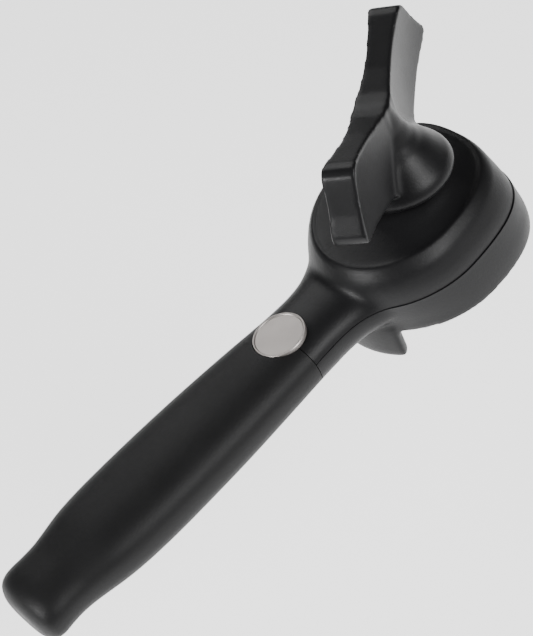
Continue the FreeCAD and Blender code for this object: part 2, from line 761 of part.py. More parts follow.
def make_turn_knob():
    """Butterfly key: a bell-shaped hub under two wings."""
    body = new_body("turn_knob", dims.drive_x, dims.knob_turn)
    hub = new_sketch(body, "XZ_Plane", "hub")
    polygon(hub, [
        (0.0, dims.hub_low), (dims.hub_bottom_radius, dims.hub_low),
        (dims.hub_radius, dims.hub_waist), (dims.hub_radius - 1.2, dims.hub_waist + 3.4),
        (dims.hub_radius - 4.6, dims.hub_waist + 8.0), (dims.hub_radius - 8.4, dims.hub_waist + 12.0),
        (dims.hub_radius - 11.4, dims.hub_waist + 18.0), (dims.hub_radius - 13.0, dims.wing_top_inner),
        (0.0, dims.wing_top_inner)])
    revolve(body, hub)
    doc.recompute()
    wings = new_sketch(body, "XZ_Plane", "wings")
    polygon(wings, [
        (0.0, dims.hub_waist + 2.0), (dims.wing_foot, dims.wing_low_inner),
        (dims.wing_reach_low - 3.0, dims.wing_low_outer - 1.6), (dims.wing_reach_low, dims.wing_low_outer + 2.4),
        (dims.wing_reach_top + 1.4, dims.wing_top_outer - 3.0), (dims.wing_reach_top - 3.0, dims.wing_top_outer),
        (16.0, dims.wing_top_inner + 1.2), (0.0, dims.wing_top_inner),
        (-16.0, dims.wing_top_inner + 1.2), (3.0 - dims.wing_reach_top, dims.wing_top_outer),
        (-1.4 - dims.wing_reach_top, dims.wing_top_outer - 3.0), (-dims.wing_reach_low, dims.wing_low_outer + 2.4),
        (3.0 - dims.wing_reach_low, dims.wing_low_outer - 1.6), (-dims.wing_foot, dims.wing_low_inner)])
    pad(body, wings, dims.wing_thick, both=True)
    doc.recompute()
    socket = new_sketch(body, "XY_Plane", "hex_socket", dims.hex_low)
    hexagon(socket)
    pocket(body, socket, dims.shaft_top - dims.hex_low)
    bore = new_sketch(body, "XY_Plane", "shaft_bore", dims.hub_low)
    circle(bore, dims.shaft_radius)
    pocket(body, bore, dims.hex_low - dims.hub_low)
    recess = new_sketch(body, "XY_Plane", "washer_recess", dims.hub_low)
    circle(recess, dims.bush_flange + 0.2)
    pocket(body, recess, 0.6)
    return body


def hexagon(sketch):
    corners = [(dims.hex_radius * math.cos(math.radians(60 * step)),
                dims.hex_radius * math.sin(math.radians(60 * step))) for step in range(6)]
    polygon(sketch, [(x, 0.0 if abs(number(y)) < 1e-9 else y) for x, y in corners])


def make_drive_shaft():
    """Stepped steel shaft, from the feed wheel up into the knob."""
    radius = dims.shaft_radius
    thin = radius - dims.groove_depth
    collar_low = dims.plate_thick + dims.bush_flange_thick + dims.end_gap
    clutch_top = dims.spring_top + dims.ring_thick
    ring_top = dims.upper_bush_low - dims.end_gap
    ring_low = ring_top - dims.ring_thick
    body = turned("drive_shaft", [
        (0.0, dims.feed_low), (radius, dims.feed_low), (radius, collar_low),
        (dims.collar_radius, collar_low), (dims.collar_radius, dims.collar_top),
        (radius, dims.collar_top), (radius, dims.spring_top), (thin, dims.spring_top),
        (thin, clutch_top), (radius, clutch_top), (radius, ring_low), (thin, ring_low),
        (thin, ring_top), (radius, ring_top), (radius, dims.hex_low), (0.0, dims.hex_low)],
        dims.drive_x, dims.knob_turn)
    doc.recompute()
    head = new_sketch(body, "XY_Plane", "hex_head", dims.hex_low)
    hexagon(head)
    pad(body, head, dims.shaft_top - dims.hex_low)
    doc.recompute()
    thread = new_sketch(body, "XY_Plane", "thread", dims.feed_low)
    circle(thread, dims.axle_thread)
    pocket(body, thread, dims.feed_screw_reach)
    flats = new_sketch(body, "XY_Plane", "drive_flats", dims.feed_low)
    for side in (-1.0, 1.0):
        edge = side * dims.flat_half
        far = side * dims.collar_radius
        polygon(flats, [(-dims.collar_radius, edge), (dims.collar_radius, edge),
                        (dims.collar_radius, far), (-dims.collar_radius, far)])
    pocket(body, flats, dims.feed_top - dims.feed_low)
    return body


def make_feed_wheel():
    """Hardened wheel with pointed teeth, keyed on the shaft's flats."""
    body = new_body("feed_wheel", dims.drive_x, dims.knob_turn)
    sketch = new_sketch(body, "XY_Plane", "teeth", dims.feed_low)
    teeth = int(number(dims.feed_teeth))
    outer = number(dims.feed_radius)
    inner = outer - number(dims.feed_tooth_depth)
    corners = []
    for step in range(2 * teeth):
        radius = outer if step % 2 == 0 else inner
        angle = math.pi * step / teeth
        corners.append(Vector(radius * math.cos(angle), radius * math.sin(angle), 0))
    for start, end in zip(corners, corners[1:] + corners[:1]):
        sketch.addGeometry(Part.LineSegment(start, end), False)
    pad(body, sketch, dims.feed_top - dims.feed_low)
    doc.recompute()
    bore = new_sketch(body, "XY_Plane", "double_d", dims.feed_low)
    half = number(dims.flat_half)
    reach = math.sqrt(number(dims.shaft_radius) ** 2 - half ** 2)
    lean = math.atan2(half, reach)
    ring = Part.Circle(Vector(0, 0, 0), Vector(0, 0, 1), number(dims.shaft_radius))
    bore.addGeometry(Part.ArcOfCircle(ring, -lean, lean), False)
    bore.addGeometry(Part.LineSegment(Vector(reach, half, 0), Vector(-reach, half, 0)), False)
    bore.addGeometry(Part.ArcOfCircle(ring, math.pi - lean, math.pi + lean), False)
    bore.addGeometry(Part.LineSegment(Vector(-reach, -half, 0), Vector(reach, -half, 0)), False)
    pocket(body, bore, dims.feed_top - dims.feed_low)
    return body


def make_feed_wheel_screw():
    tip = dims.feed_low + dims.feed_screw_reach - 0.5
    return turned("feed_wheel_screw", [
        (0.0, dims.feed_screw_low + 1.0), (1.5, dims.feed_screw_low + 1.0), (1.5, dims.feed_screw_low),
        (dims.screw_head - 0.5, dims.feed_screw_low), (dims.screw_head + 1.0, dims.feed_screw_low + 0.7),
        (dims.screw_head + 1.0, dims.feed_low), (dims.axle_thread, dims.feed_low),
        (dims.axle_thread, tip), (0.0, tip)], dims.drive_x)


def make_rings():
    """Washers, wave spring and retaining rings of the drive line."""
    radius = dims.shaft_radius
    thin = radius - dims.groove_depth
    running = radius + dims.running_gap
    ring_top = dims.upper_bush_low - dims.end_gap
    turned("knob_thrust_washer", ring_points(
        running, dims.bush_flange - 0.2, dims.deck_top + dims.end_gap, dims.hub_low + 0.6), dims.drive_x)
    turned("shaft_ring", ring_points(
        thin, radius + 2.0, ring_top - dims.ring_thick, ring_top), dims.drive_x)
    turned("clutch_ring", ring_points(
        thin, radius + 2.0, dims.spring_top, dims.spring_top + dims.ring_thick), dims.drive_x)
    turned("clutch_washer", ring_points(
        running, radius + 2.6, dims.pinion_top + dims.end_gap, dims.clutch_washer_top), dims.drive_x)


def make_clutch_spring():
    """Wave spring: a flat ring bent into three waves."""
    low = number(dims.clutch_washer_top)
    high = number(dims.spring_top)
    thick = 0.4
    inner = number(dims.shaft_radius) + 0.2
    outer = number(dims.shaft_radius) + 2.4
    middle = (low + high) / 2.0
    swing = (high - low - thick) / 2.0
    rings = []
    for radius in (inner, outer):
        points = []
        for step in range(36):
            angle = 2 * math.pi * step / 36
            height = middle + swing * math.cos(3 * angle)
            points.append(Vector(radius * math.cos(angle), radius * math.sin(angle), height))
        curve = Part.BSplineCurve()
        curve.interpolate(points, PeriodicFlag=True)
        rings.append(curve.toShape())
    sheet = Part.makeRuledSurface(rings[0], rings[1])
    sheet.translate(Vector(0, 0, -thick / 2.0))
    piece = doc.addObject("Part::Feature", "clutch_spring")
    piece.Label = "clutch_spring"
    piece.Shape = sheet.extrude(Vector(0, 0, thick))
    piece.Placement = Placement(Vector(number(dims.drive_x), 0, 0), Rotation())
    piece.setExpression("Placement.Base.x", dims.drive_x.text)
    return piece


def make_clutch_pinion():
    body = new_body("clutch_pinion", dims.drive_x)
    sketch = new_sketch(body, "XY_Plane", "pinion", dims.pinion_low)
    gear_outline(sketch, int(number(dims.pinion_teeth)), math.pi)
    pad(body, sketch, dims.pinion_top - dims.pinion_low)
    doc.recompute()
    bore = new_sketch(body, "XY_Plane", "bore", dims.pinion_low)
    circle(bore, dims.shaft_radius + dims.running_gap)
    pocket(body, bore, dims.pinion_top - dims.pinion_low)
    return body


# ---------------------------------------------------------------- cutter

def eccentric():
    angle = math.radians(number(dims.eccentric_angle))
    return dims.eccentricity * math.cos(angle), dims.eccentricity * math.sin(angle)


def make_cutter_carrier():
    """Gear over a journal that carries the cutter's axle off centre."""
    body = new_body("cutter_carrier", dims.pivot_x)
    journal = new_sketch(body, "XY_Plane", "journal", dims.journal_low)
    circle(journal, dims.journal_radius)
    pad(body, journal, dims.carrier_gear_low - dims.journal_low + 0.5)
    doc.recompute()
    teeth = int(number(dims.carrier_teeth))
    gear = new_sketch(body, "XY_Plane", "gear", dims.carrier_gear_low)
    gear_outline(gear, teeth, math.pi / teeth)
    pad(body, gear, dims.carrier_gear_top - dims.carrier_gear_low)
    doc.recompute()
    top = new_sketch(body, "XY_Plane", "boss", dims.carrier_gear_top)
    circle(top, dims.pivot_radius + 1.6)
    pad(body, top, dims.carrier_top - dims.carrier_gear_top)
    doc.recompute()
    bore = new_sketch(body, "XY_Plane", "pivot_bore", dims.pivot_low - 0.3)
    circle(bore, dims.pivot_radius + dims.running_gap)
    pocket(body, bore, 10.0)
    thread = new_sketch(body, "XY_Plane", "axle_thread", dims.journal_low)
    circle(thread, dims.axle_thread, *eccentric())
    pocket(body, thread, dims.axle_top - dims.journal_low)
    slot = new_sketch(body, "XY_Plane", "stop_slot", dims.stop_low - 0.3)
    stop_slot(slot)
    pocket(body, slot, 6.0)
    return body


def stop_slot(sketch):
    """Arc-shaped slot that the stop pin stands in; it runs clockwise from the pin at rest."""
    spare = number(dims.stop_radius) + 0.25
    ring = number(dims.stop_ring)
    start = math.radians(90.0)
    end = start - math.radians(number(dims.stop_sweep))
    turn = Vector(0, 0, 1)
    middle = Vector(0, 0, 0)
    sketch.addGeometry(Part.ArcOfCircle(Part.Circle(middle, turn, ring + spare), end, start), False)
    sketch.addGeometry(Part.ArcOfCircle(Part.Circle(middle, turn, ring - spare), end, start), False)
    for angle, low in ((start, start), (end, end - math.pi)):
        place = Vector(ring * math.cos(angle), ring * math.sin(angle), 0)
        sketch.addGeometry(Part.ArcOfCircle(Part.Circle(place, turn, spare), low, low + math.pi), False)


def make_cutter_parts():
    """Cutter wheel, the shoulder screw it turns on, and the washer above it."""
    shift_x, shift_y = eccentric()
    axle = turned("cutter_axle", [
        (0.0, dims.axle_low + 0.9), (1.4, dims.axle_low + 0.9), (1.4, dims.axle_low),
        (dims.axle_head - 0.6, dims.axle_low), (dims.axle_head, dims.axle_low + 0.6),
        (dims.axle_head, dims.cutter_low - dims.end_gap), (dims.axle_radius, dims.cutter_low - dims.end_gap),
        (dims.axle_radius, dims.journal_low), (dims.axle_thread, dims.journal_low),
        (dims.axle_thread, dims.axle_top), (0.0, dims.axle_top)], dims.pivot_x + shift_x)
    washer = turned("cutter_washer", ring_points(
        dims.axle_radius, dims.axle_head, dims.cutter_top + dims.end_gap, dims.journal_low),
        dims.pivot_x + shift_x)
    inner = dims.axle_radius + dims.running_gap
    wheel = turned("cutter_wheel", [
        (inner, dims.cutter_low), (dims.cutter_radius - 2.4, dims.cutter_low),
        (dims.cutter_radius, dims.cutter_edge), (dims.cutter_radius - 1.6, dims.cutter_top),
        (inner, dims.cutter_top)], dims.pivot_x + shift_x)
    for piece in (axle, washer, wheel):
        bind(piece, "Placement.Base.y", shift_y)


# ---------------------------------------------------------------- build and write

BUILDERS = [
    make_upper_housing, make_lower_housing, make_handle_grip, make_badge, make_base_plate,
    make_upper_bush, make_lower_bush, make_pins, make_screws, make_turn_knob, make_drive_shaft,
    make_feed_wheel, make_feed_wheel_screw, make_rings, make_clutch_spring, make_clutch_pinion,
    make_cutter_carrier, make_cutter_parts,
]
for builder in BUILDERS:
    builder()
doc.recompute()

NODES = [
    "upper_housing", "lower_housing", "handle_grip", "badge", "base_plate", "upper_bush",
    "lower_bush", "carrier_pivot_pin", "carrier_stop_pin", "housing_screws", "tongue_screws",
    "turn_knob", "drive_shaft", "feed_wheel", "feed_wheel_screw", "knob_thrust_washer",
    "shaft_ring", "clutch_ring", "clutch_washer", "clutch_spring", "clutch_pinion",
    "cutter_carrier", "cutter_axle", "cutter_washer", "cutter_wheel",
]

for item in doc.Objects:
    faults = [word for word in item.State if word in ("Invalid", "Error")]
    if faults:
        raise RuntimeError("%s failed to build: %s" % (item.Label, faults))
for node in NODES:
    piece = doc.getObjectsByLabel(node)[0]
    if piece.Shape.isNull() or not piece.Shape.isValid():
        raise RuntimeError("%s has no valid shape" % node)

os.makedirs("parts", exist_ok=True)
for node in NODES:
    piece = doc.getObjectsByLabel(node)[0]
    piece.Shape.exportStep("parts/%s.step" % node)
    box = piece.Shape.BoundBox
    print("%-20s %8.0f mm3  x %7.1f..%6.1f  y %6.1f..%5.1f  z %5.1f..%5.1f" % (
        node, piece.Shape.Volume, box.XMin, box.XMax, box.YMin, box.YMax, box.ZMin, box.ZMax))
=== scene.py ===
# %% [markdown]
# # A side-cutting can opener
# The opener has a moulded head, a long soft handle and a butterfly key that turns on a
# vertical shaft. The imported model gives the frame: every length below is in metres, the
# shaft stands along +Z and the handle runs towards -X.

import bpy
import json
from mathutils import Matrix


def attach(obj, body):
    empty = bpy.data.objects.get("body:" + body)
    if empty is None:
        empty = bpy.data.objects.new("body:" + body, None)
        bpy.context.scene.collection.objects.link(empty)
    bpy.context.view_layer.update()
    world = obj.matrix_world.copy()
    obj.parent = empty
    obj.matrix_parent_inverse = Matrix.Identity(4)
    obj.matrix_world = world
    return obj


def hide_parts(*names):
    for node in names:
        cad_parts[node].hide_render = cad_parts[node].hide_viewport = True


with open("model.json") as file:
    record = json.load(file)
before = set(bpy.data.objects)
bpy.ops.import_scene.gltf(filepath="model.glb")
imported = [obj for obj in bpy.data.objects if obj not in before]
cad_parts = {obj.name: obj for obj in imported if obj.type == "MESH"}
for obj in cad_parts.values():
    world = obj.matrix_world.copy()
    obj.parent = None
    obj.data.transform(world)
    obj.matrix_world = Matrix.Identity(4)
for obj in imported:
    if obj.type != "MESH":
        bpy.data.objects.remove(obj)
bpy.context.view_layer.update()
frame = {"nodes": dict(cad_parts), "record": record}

# %% Tools, and the axes of the key and the cutter
import json
import math

import bmesh
import bpy
from mathutils import Matrix, Vector

MM = 0.001
joints = {joint["name"]: joint for joint in frame["record"]["behaviour"]["joints"]}
AXLE = Vector(joints["drive_spin"]["pos_m"])
PIVOT = Vector(joints["carrier_turn"]["pos_m"])
AXLE_X, PIVOT_X = AXLE.x / MM, PIVOT.x / MM
print("key at x =", round(AXLE_X, 2), "and the cutter's carrier at x =", round(PIVOT_X, 2))

# %% [markdown]
# ## Camera
# A camera is easiest to aim with a turntable's numbers: how far round, how high, how much
# it leans, and how far away it stands from the point that it looks at.

# %% Camera
AZIMUTH, ELEVATION, ROLL = math.radians(-23.53), math.radians(43.29), math.radians(-27.89)
AIM = Vector((-58.28, -5.57, 37.1)) * MM
AWAY = 520.5 * MM
LENS = 99.15

backwards = Vector((math.sin(AZIMUTH) * math.cos(ELEVATION),
                    -math.cos(AZIMUTH) * math.cos(ELEVATION), math.sin(ELEVATION)))
level = Vector((0, 0, 1)).cross(backwards).normalized()
upright = backwards.cross(level)
across = level * math.cos(ROLL) + upright * math.sin(ROLL)
upwards = upright * math.cos(ROLL) - level * math.sin(ROLL)
eye = bpy.data.objects.new("camera", bpy.data.cameras.new("camera"))
bpy.context.scene.collection.objects.link(eye)
eye.data.lens, eye.data.sensor_width, eye.data.sensor_fit = LENS, 36.0, "AUTO"
eye.data.clip_start, eye.data.clip_end = 0.01, 20.0
turn = Matrix((across, upwards, backwards)).transposed().to_4x4()
eye.matrix_world = Matrix.Translation(AIM + backwards * AWAY) @ turn
bpy.context.scene.camera = eye
print("camera at", tuple(round(c, 3) for c in eye.matrix_world.translation))

# %% [markdown]
# ## Mesh helpers
# Moulded parts are skinned over rings. A ring starts as a circle and each of its points is
# pushed out to a superellipse, which is a circle for a power of 2 and squarer above that.
# The head is squarer in front than at the back, so its rings may lower their power there.

# %% Rings and skins
RING_POINTS = 96
EGG_POWER = 2.05


def mesh_object(bm, name):
    """Turn a bmesh into a named object at the origin."""
    mesh = bpy.data.meshes.new(name)
    bm.to_mesh(mesh)
    bm.free()
    piece = bpy.data.objects.new(name, mesh)
    bpy.context.scene.collection.objects.link(piece)
    return piece


def squared(cosine, power):
    """A superellipse's stretch of a cosine or sine."""
    return math.copysign(abs(cosine) ** (2.0 / power), cosine)


def ring(bm, place, half_a, half_b, power, egg=0.0):
    """A superellipse in the plane of a matrix, in millimetres; egg narrows its -x end."""
    made = bmesh.ops.create_circle(bm, segments=RING_POINTS, radius=1.0)
    for vert in made["verts"]:
        angle = math.atan2(vert.co.y, vert.co.x)
        rear = 0.5 - 0.5 * math.tanh(3.0 * math.cos(angle))
        bend = power - egg * (power - EGG_POWER) * rear
        flat = Vector((half_a * squared(math.cos(angle), bend),
                       half_b * squared(math.sin(angle), bend), 0.0))
        vert.co = (place @ flat) * MM


def skin(rings_of, name, egg=0.0):
    """Bridge rings one after another and close both ends."""
    bm = bmesh.new()
    loops = []
    for place, half_a, half_b, power in rings_of:
        seen = set(bm.edges)
        ring(bm, place, half_a, half_b, power, egg=egg)
        loops.append([edge for edge in bm.edges if edge not in seen])
    for low, high in zip(loops, loops[1:]):
        bmesh.ops.bridge_loops(bm, edges=low + high)
    for end in (loops[0], loops[-1]):
        bmesh.ops.edgeloop_fill(bm, edges=end)
    bmesh.ops.recalc_face_normals(bm, faces=bm.faces)
    return mesh_object(bm, name)


print("a ring has", RING_POINTS, "points")

# %% [markdown]
# ## Rows of rings
# A table of a few rings is easy to read and to correct. A Catmull-Rom curve through its rows
# gives the rings between them, so that the skin flows as a moulding does. The head's rings lie
# level and the handle's stand upright across its length. The head sits on the neck turned by
# a few degrees. Rings above the seam are also skewed in plan: a point moves forward by up to
# a tenth of its distance across. Both numbers were set by comparing one view.


# %% Rows of rings
def smooth_table(rows, steps):
    """More rows between the given ones, on a Catmull-Rom curve through them."""
    out = []
    for here in range(len(rows) - 1):
        a, b, c, d = (rows[max(0, min(len(rows) - 1, here + shift))] for shift in (-1, 0, 1, 2))
        for step in range(steps):
            t = step / steps
            out.append([0.5 * (2 * q + (r - p) * t + (2 * p - 5 * q + 4 * r - s) * t * t
                               + (3 * q - p - 3 * r + s) * t ** 3)
                        for p, q, r, s in zip(a, b, c, d)])
    return out + [list(rows[-1])]


def level_ring(row):
    """Ring of the head: height, centre x, centre y, half length, half width, power."""
    height, x, y, half_length, half_width, power = row
    return Matrix.Translation((x, y, height)), half_length, half_width, power


HEAD_TURN = Matrix.Rotation(math.radians(4.0), 4, "Z")
HEAD_SKEW, SKEW_FOOT, SKEW_RISE = 0.10, 16.0, 9.0


def head_ring(row):
    """A level ring, turned as the head sits on the neck and skewed more towards the deck."""
    place, half_length, half_width, power = level_ring(row)
    skew = Matrix.Identity(4)
    skew[0][1] = HEAD_SKEW * min(1.0, max(0.0, (row[0] - SKEW_FOOT) / SKEW_RISE))
    return HEAD_TURN @ skew @ place, half_length, half_width, power


ACROSS = Matrix(((0, 0, 1), (1, 0, 0), (0, 1, 0))).to_4x4()


def upright_ring(row):
    """Ring of the handle: x, centre y, centre height, half width, half height, power."""
    x, y, height, half_width, half_height, power = row
    return Matrix.Translation((x, y, height)) @ ACROSS, half_width, half_height, power


print("rows of rings ready")

# %% [markdown]
# ## Shaping tools
# Four operations make every moulding: melt several closed bodies into one skin, relax part of
# it, carve it with a tool, and slice it along a plane. A voxel remesh is used for melting
# because it rounds the valleys that a boolean would leave sharp.


# %% Melting and relaxing
def settle(piece):
    """Work the live modifiers into the mesh."""
    graph = bpy.context.evaluated_depsgraph_get()
    mesh = bpy.data.meshes.new_from_object(piece.evaluated_get(graph))
    piece.modifiers.clear()
    piece.data = mesh
    return piece


def melt(pieces, voxel, name):
    """Join closed pieces and remesh them as one skin."""
    bm = bmesh.new()
    for piece in pieces:
        bm.from_mesh(piece.data)
        bpy.data.objects.remove(piece)
    whole = mesh_object(bm, name)
    remesh = whole.modifiers.new("melt", "REMESH")
    remesh.mode, remesh.voxel_size = "VOXEL", voxel
    return settle(whole)


def relax(piece, rounds, chosen=None):
    """Smooth the chosen points of a mesh a number of times."""
    bm = bmesh.new()
    bm.from_mesh(piece.data)
    verts = [vert for vert in bm.verts if chosen is None or chosen(vert.co / MM)]
    for _ in range(rounds):
        bmesh.ops.smooth_vert(bm, verts=verts, factor=0.5, use_axis_x=True,
                              use_axis_y=True, use_axis_z=True)
    bm.to_mesh(piece.data)
    bm.free()
    return len(verts)


print("melting and relaxing ready")


# %% Carving and slicing
def carve(piece, tool, operation="DIFFERENCE"):
    """A boolean with a tool that is used up."""
    cut = piece.modifiers.new("carve", "BOOLEAN")
    cut.operation, cut.object, cut.solver = operation, tool, "EXACT"
    settle(piece)
    bpy.data.objects.remove(tool)
    return piece


def slice_off(piece, point, normal):
    """Cut away the side that a normal points to, and cap the cut."""
    bm = bmesh.new()
    bm.from_mesh(piece.data)
    made = bmesh.ops.bisect_plane(bm, geom=bm.verts[:] + bm.edges[:] + bm.faces[:],
                                  plane_co=Vector(point) * MM, plane_no=normal, clear_outer=True)
    rim = [item for item in made["geom_cut"] if isinstance(item, bmesh.types.BMEdge)]
    bmesh.ops.holes_fill(bm, edges=rim, sides=0)
    bmesh.ops.recalc_face_normals(bm, faces=bm.faces)
    bm.to_mesh(piece.data)
    bm.free()
    return piece


def prism(low, high, x, y, half_a, half_b, power=2.0):
    """An upright bar with a superellipse's outline, in millimetres."""
    return skin([level_ring((z, x, y, half_a, half_b, power)) for z in (low, high)], "tool")


def copy_of(piece, name):
    """A second object with a mesh of its own."""
    twin = piece.copy()
    twin.data = piece.data.copy()
    twin.name = name
    bpy.context.scene.collection.objects.link(twin)
    return twin


print("carving and slicing ready")

# %% [markdown]
# ## Shapes of the mouldings
# The head, the neck and the grip look like one flowing body, so they are melted together
# first and parted afterwards, the way a designer draws the whole shape before the mould's
# parting lines. Each row is one ring, in millimetres.

# %% Rings of the upper shell, from inside the skirt up over the shoulder to the deck
HEAD_ROWS = [
    (8.0, 1.3, -0.3, 34.2, 30.2, 2.75), (16.2, 1.3, -0.3, 34.2, 30.2, 2.75),
    (19.5, 1.5, 0.0, 34.0, 30.0, 2.7), (22.5, 1.8, 0.6, 33.5, 29.5, 2.7),
    (25.7, 2.4, 1.2, 32.6, 28.6, 2.65), (27.8, 2.9, 1.6, 31.5, 27.2, 2.55),
    (29.1, 3.1, 1.6, 30.2, 25.8, 2.4),
]
DECK_ROWS = [
    (28.75, 3.0, 1.6, 29.2, 25.0, 2.3), (29.2, 3.8, 1.4, 26.7, 23.0, 2.2),
    (30.5, 5.2, 0.8, 21.6, 19.3, 2.1), (32.1, 6.4, 0.3, 16.5, 16.0, 2.0),
    (33.3, 7.0, 0.0, 13.0, 13.0, 2.0),
]
# Rings of the skirt, which stands a little proud of the shell above it
SKIRT_ROWS = [
    (1.0, 4.6, -0.2, 33.2, 31.4, 2.5), (1.7, 4.6, -0.2, 33.7, 31.9, 2.5),
    (6.0, 3.9, -0.2, 34.0, 31.8, 2.6), (11.0, 2.6, -0.3, 34.3, 31.2, 2.65),
    (16.2, 1.35, -0.3, 34.5, 30.6, 2.75), (22.0, 0.6, -0.3, 34.2, 30.3, 2.75),
]
# Rings of the neck and the handle, from the butt to inside the head
HANDLE_ROWS = [
    (-168.25, 0.0, 12.7, 6.5, 3.9, 2.0), (-167.7, 0.0, 12.8, 9.8, 5.9, 2.1),
    (-166.0, 0.0, 13.4, 12.7, 7.6, 2.3), (-163.4, 0.0, 14.0, 13.8, 8.3, 2.4),
    (-160.0, 0.0, 14.5, 13.9, 8.3, 2.4), (-156.0, 0.0, 14.6, 13.7, 8.3, 2.4),
    (-151.0, 0.0, 14.5, 14.0, 8.5, 2.4), (-146.0, 0.0, 14.5, 14.9, 9.0, 2.4),
    (-139.0, 0.0, 14.5, 16.2, 9.7, 2.4), (-130.0, 0.0, 14.3, 17.0, 10.1, 2.4),
    (-118.0, 0.0, 14.1, 17.3, 10.2, 2.4), (-104.0, 0.0, 14.0, 17.2, 10.1, 2.4),
    (-88.0, 0.0, 13.8, 16.7, 9.9, 2.4), (-70.0, 0.0, 13.6, 15.7, 9.4, 2.4),
    (-54.8, 0.0, 13.3, 14.6, 8.9, 2.4), (-50.0, 0.0, 13.2, 14.3, 8.9, 2.4),
    (-46.0, 0.0, 13.2, 14.2, 8.9, 2.4), (-41.0, 0.0, 13.2, 14.3, 8.8, 2.4),
    (-36.0, 0.0, 13.3, 14.9, 8.8, 2.4), (-32.0, 0.0, 13.4, 16.2, 8.8, 2.4),
    (-28.0, 0.0, 13.5, 18.2, 8.8, 2.4), (-20.0, 0.0, 13.7, 20.5, 8.8, 2.4),
]
SEAM, GRIP_FRONT, GAP = 16.2, -54.8, 0.12
STEPS = 4
VOXEL = 0.6 * MM
print("rings:", len(HEAD_ROWS + DECK_ROWS), "head,", len(SKIRT_ROWS), "skirt,",
      len(HANDLE_ROWS), "handle")

# %% [markdown]
# ## The upper envelope
# A voxel remesh turns the overlapping head and handle into one skin. Smoothing only the
# neck's root, in four shorter and shorter stretches, rounds the valley where they meet and
# leaves the deck's edge crisp.


# %% Upper envelope
def handle_solid(name):
    return skin([upright_ring(row) for row in smooth_table(HANDLE_ROWS, STEPS)], name)


head_rows = smooth_table(HEAD_ROWS, STEPS) + smooth_table(DECK_ROWS, STEPS)
head = skin([head_ring(row) for row in head_rows], "head", 1.0)
upper = melt([head, handle_solid("handle")], VOXEL, "upper")
relax(upper, 3)


NECK_LOW, NECK_HIGH = 4.0, 27.5
rounded = 0
for back, front in ((-50.0, -16.0), (-48.0, -20.0), (-46.0, -23.0), (-44.0, -26.0)):
    rounded = relax(
        upper, 12, lambda co: back < co.x < front and NECK_LOW < co.z < NECK_HIGH)
print("upper envelope:", len(upper.data.polygons), "faces,", rounded, "points relaxed")

# %% [markdown]
# ## The lower envelope
# The skirt is skinned the same way. The nose below its rear edge guides the can: its
# section is spun about the head's centre. NOSE_THICK and NOSE_TALL are half of its
# thickness and half of its height, and NOSE_SWEEP is half of its angle, in degrees.

# %% Lower envelope
NOSE_X, NOSE_Z, NOSE_THICK, NOSE_TALL, NOSE_SWEEP = -29.2, -1.6, 2.4, 7.95, 32.0


def nose_solid():
    """A short curved bar, spun from one rounded section."""
    bm = bmesh.new()
    made = bmesh.ops.create_circle(bm, segments=16, radius=1.0)
    half_angle = math.radians(NOSE_SWEEP)
    for vert in made["verts"]:
        angle = math.atan2(vert.co.y, vert.co.x)
        vert.co = Vector((NOSE_X + NOSE_THICK * squared(math.cos(angle), 4.0), 0.0,
                          NOSE_Z + NOSE_TALL * squared(math.sin(angle), 4.0))) * MM
    bmesh.ops.rotate(bm, verts=bm.verts, cent=(0, 0, 0),
                     matrix=Matrix.Rotation(-half_angle, 3, "Z"))
    first = bm.edges[:]
    spun = bmesh.ops.spin(bm, geom=bm.verts[:] + first, cent=(0, 0, 0), axis=(0, 0, 1),
                          angle=2 * half_angle, steps=24, use_merge=False)
    last = [item for item in spun["geom_last"] if isinstance(item, bmesh.types.BMEdge)]
    for end in (first, last):
        bmesh.ops.edgeloop_fill(bm, edges=end)
    bmesh.ops.recalc_face_normals(bm, faces=bm.faces)
    return mesh_object(bm, "nose")


skirt = skin([head_ring(row) for row in smooth_table(SKIRT_ROWS, STEPS)], "skirt", 1.0)
lower = melt([skirt, handle_solid("tongue"), nose_solid()], VOXEL, "lower")
relax(lower, 3)
relax(lower, 30, lambda co: -46.0 < co.x < -20.0 and co.z > 3.5)
relax(lower, 12, lambda co: co.x < -16.0 and co.z < 3.5)
print("lower envelope:", len(lower.data.polygons), "faces")

# %% [markdown]
# ## Parting the shells
# The envelopes are cut at the seam and at the grip's front edge, with a hair's gap so that
# the parting line shows, and hollowed as a moulding is.


# %% Hollow tools
def joined(tools):
    """Unite closed solids with exact booleans."""
    whole = tools[0]
    for tool in tools[1:]:
        carve(whole, tool, "UNION")
    return whole


POSTS = [(20.0, 14.0), (20.0, -14.0), (-16.0, 18.5), (-16.0, -18.5)]
POST_RADIUS, DECK_UNDER, FLOOR_TOP, ABOVE = 3.6, 26.0, 4.5, 40.0
BADGE_X, BADGE_LOW = -54.8, 21.0


def cavity(low, high):
    """The room inside the head, around the screw posts."""
    room = prism(low, high, 2.3, 0.0, 28.0, 23.0, 2.5)
    for x, y in POSTS:
        carve(room, prism(low - 1, high + 1, x, y, POST_RADIUS, POST_RADIUS))
    return room


def badge_seat():
    """The oval pocket that the badge lies in."""
    return prism(BADGE_LOW, ABOVE, BADGE_X, 0.0, 8.95, 8.75)


def core_bar(low, high):
    """The tongue of hard plastic inside the grip, along X."""
    rows = [(x, 0.0, 13.8, 10.0, 4.2, 6.0) for x in (low, high)]
    return skin([upright_ring(row) for row in rows], "core")


print("tools for the hollows ready")

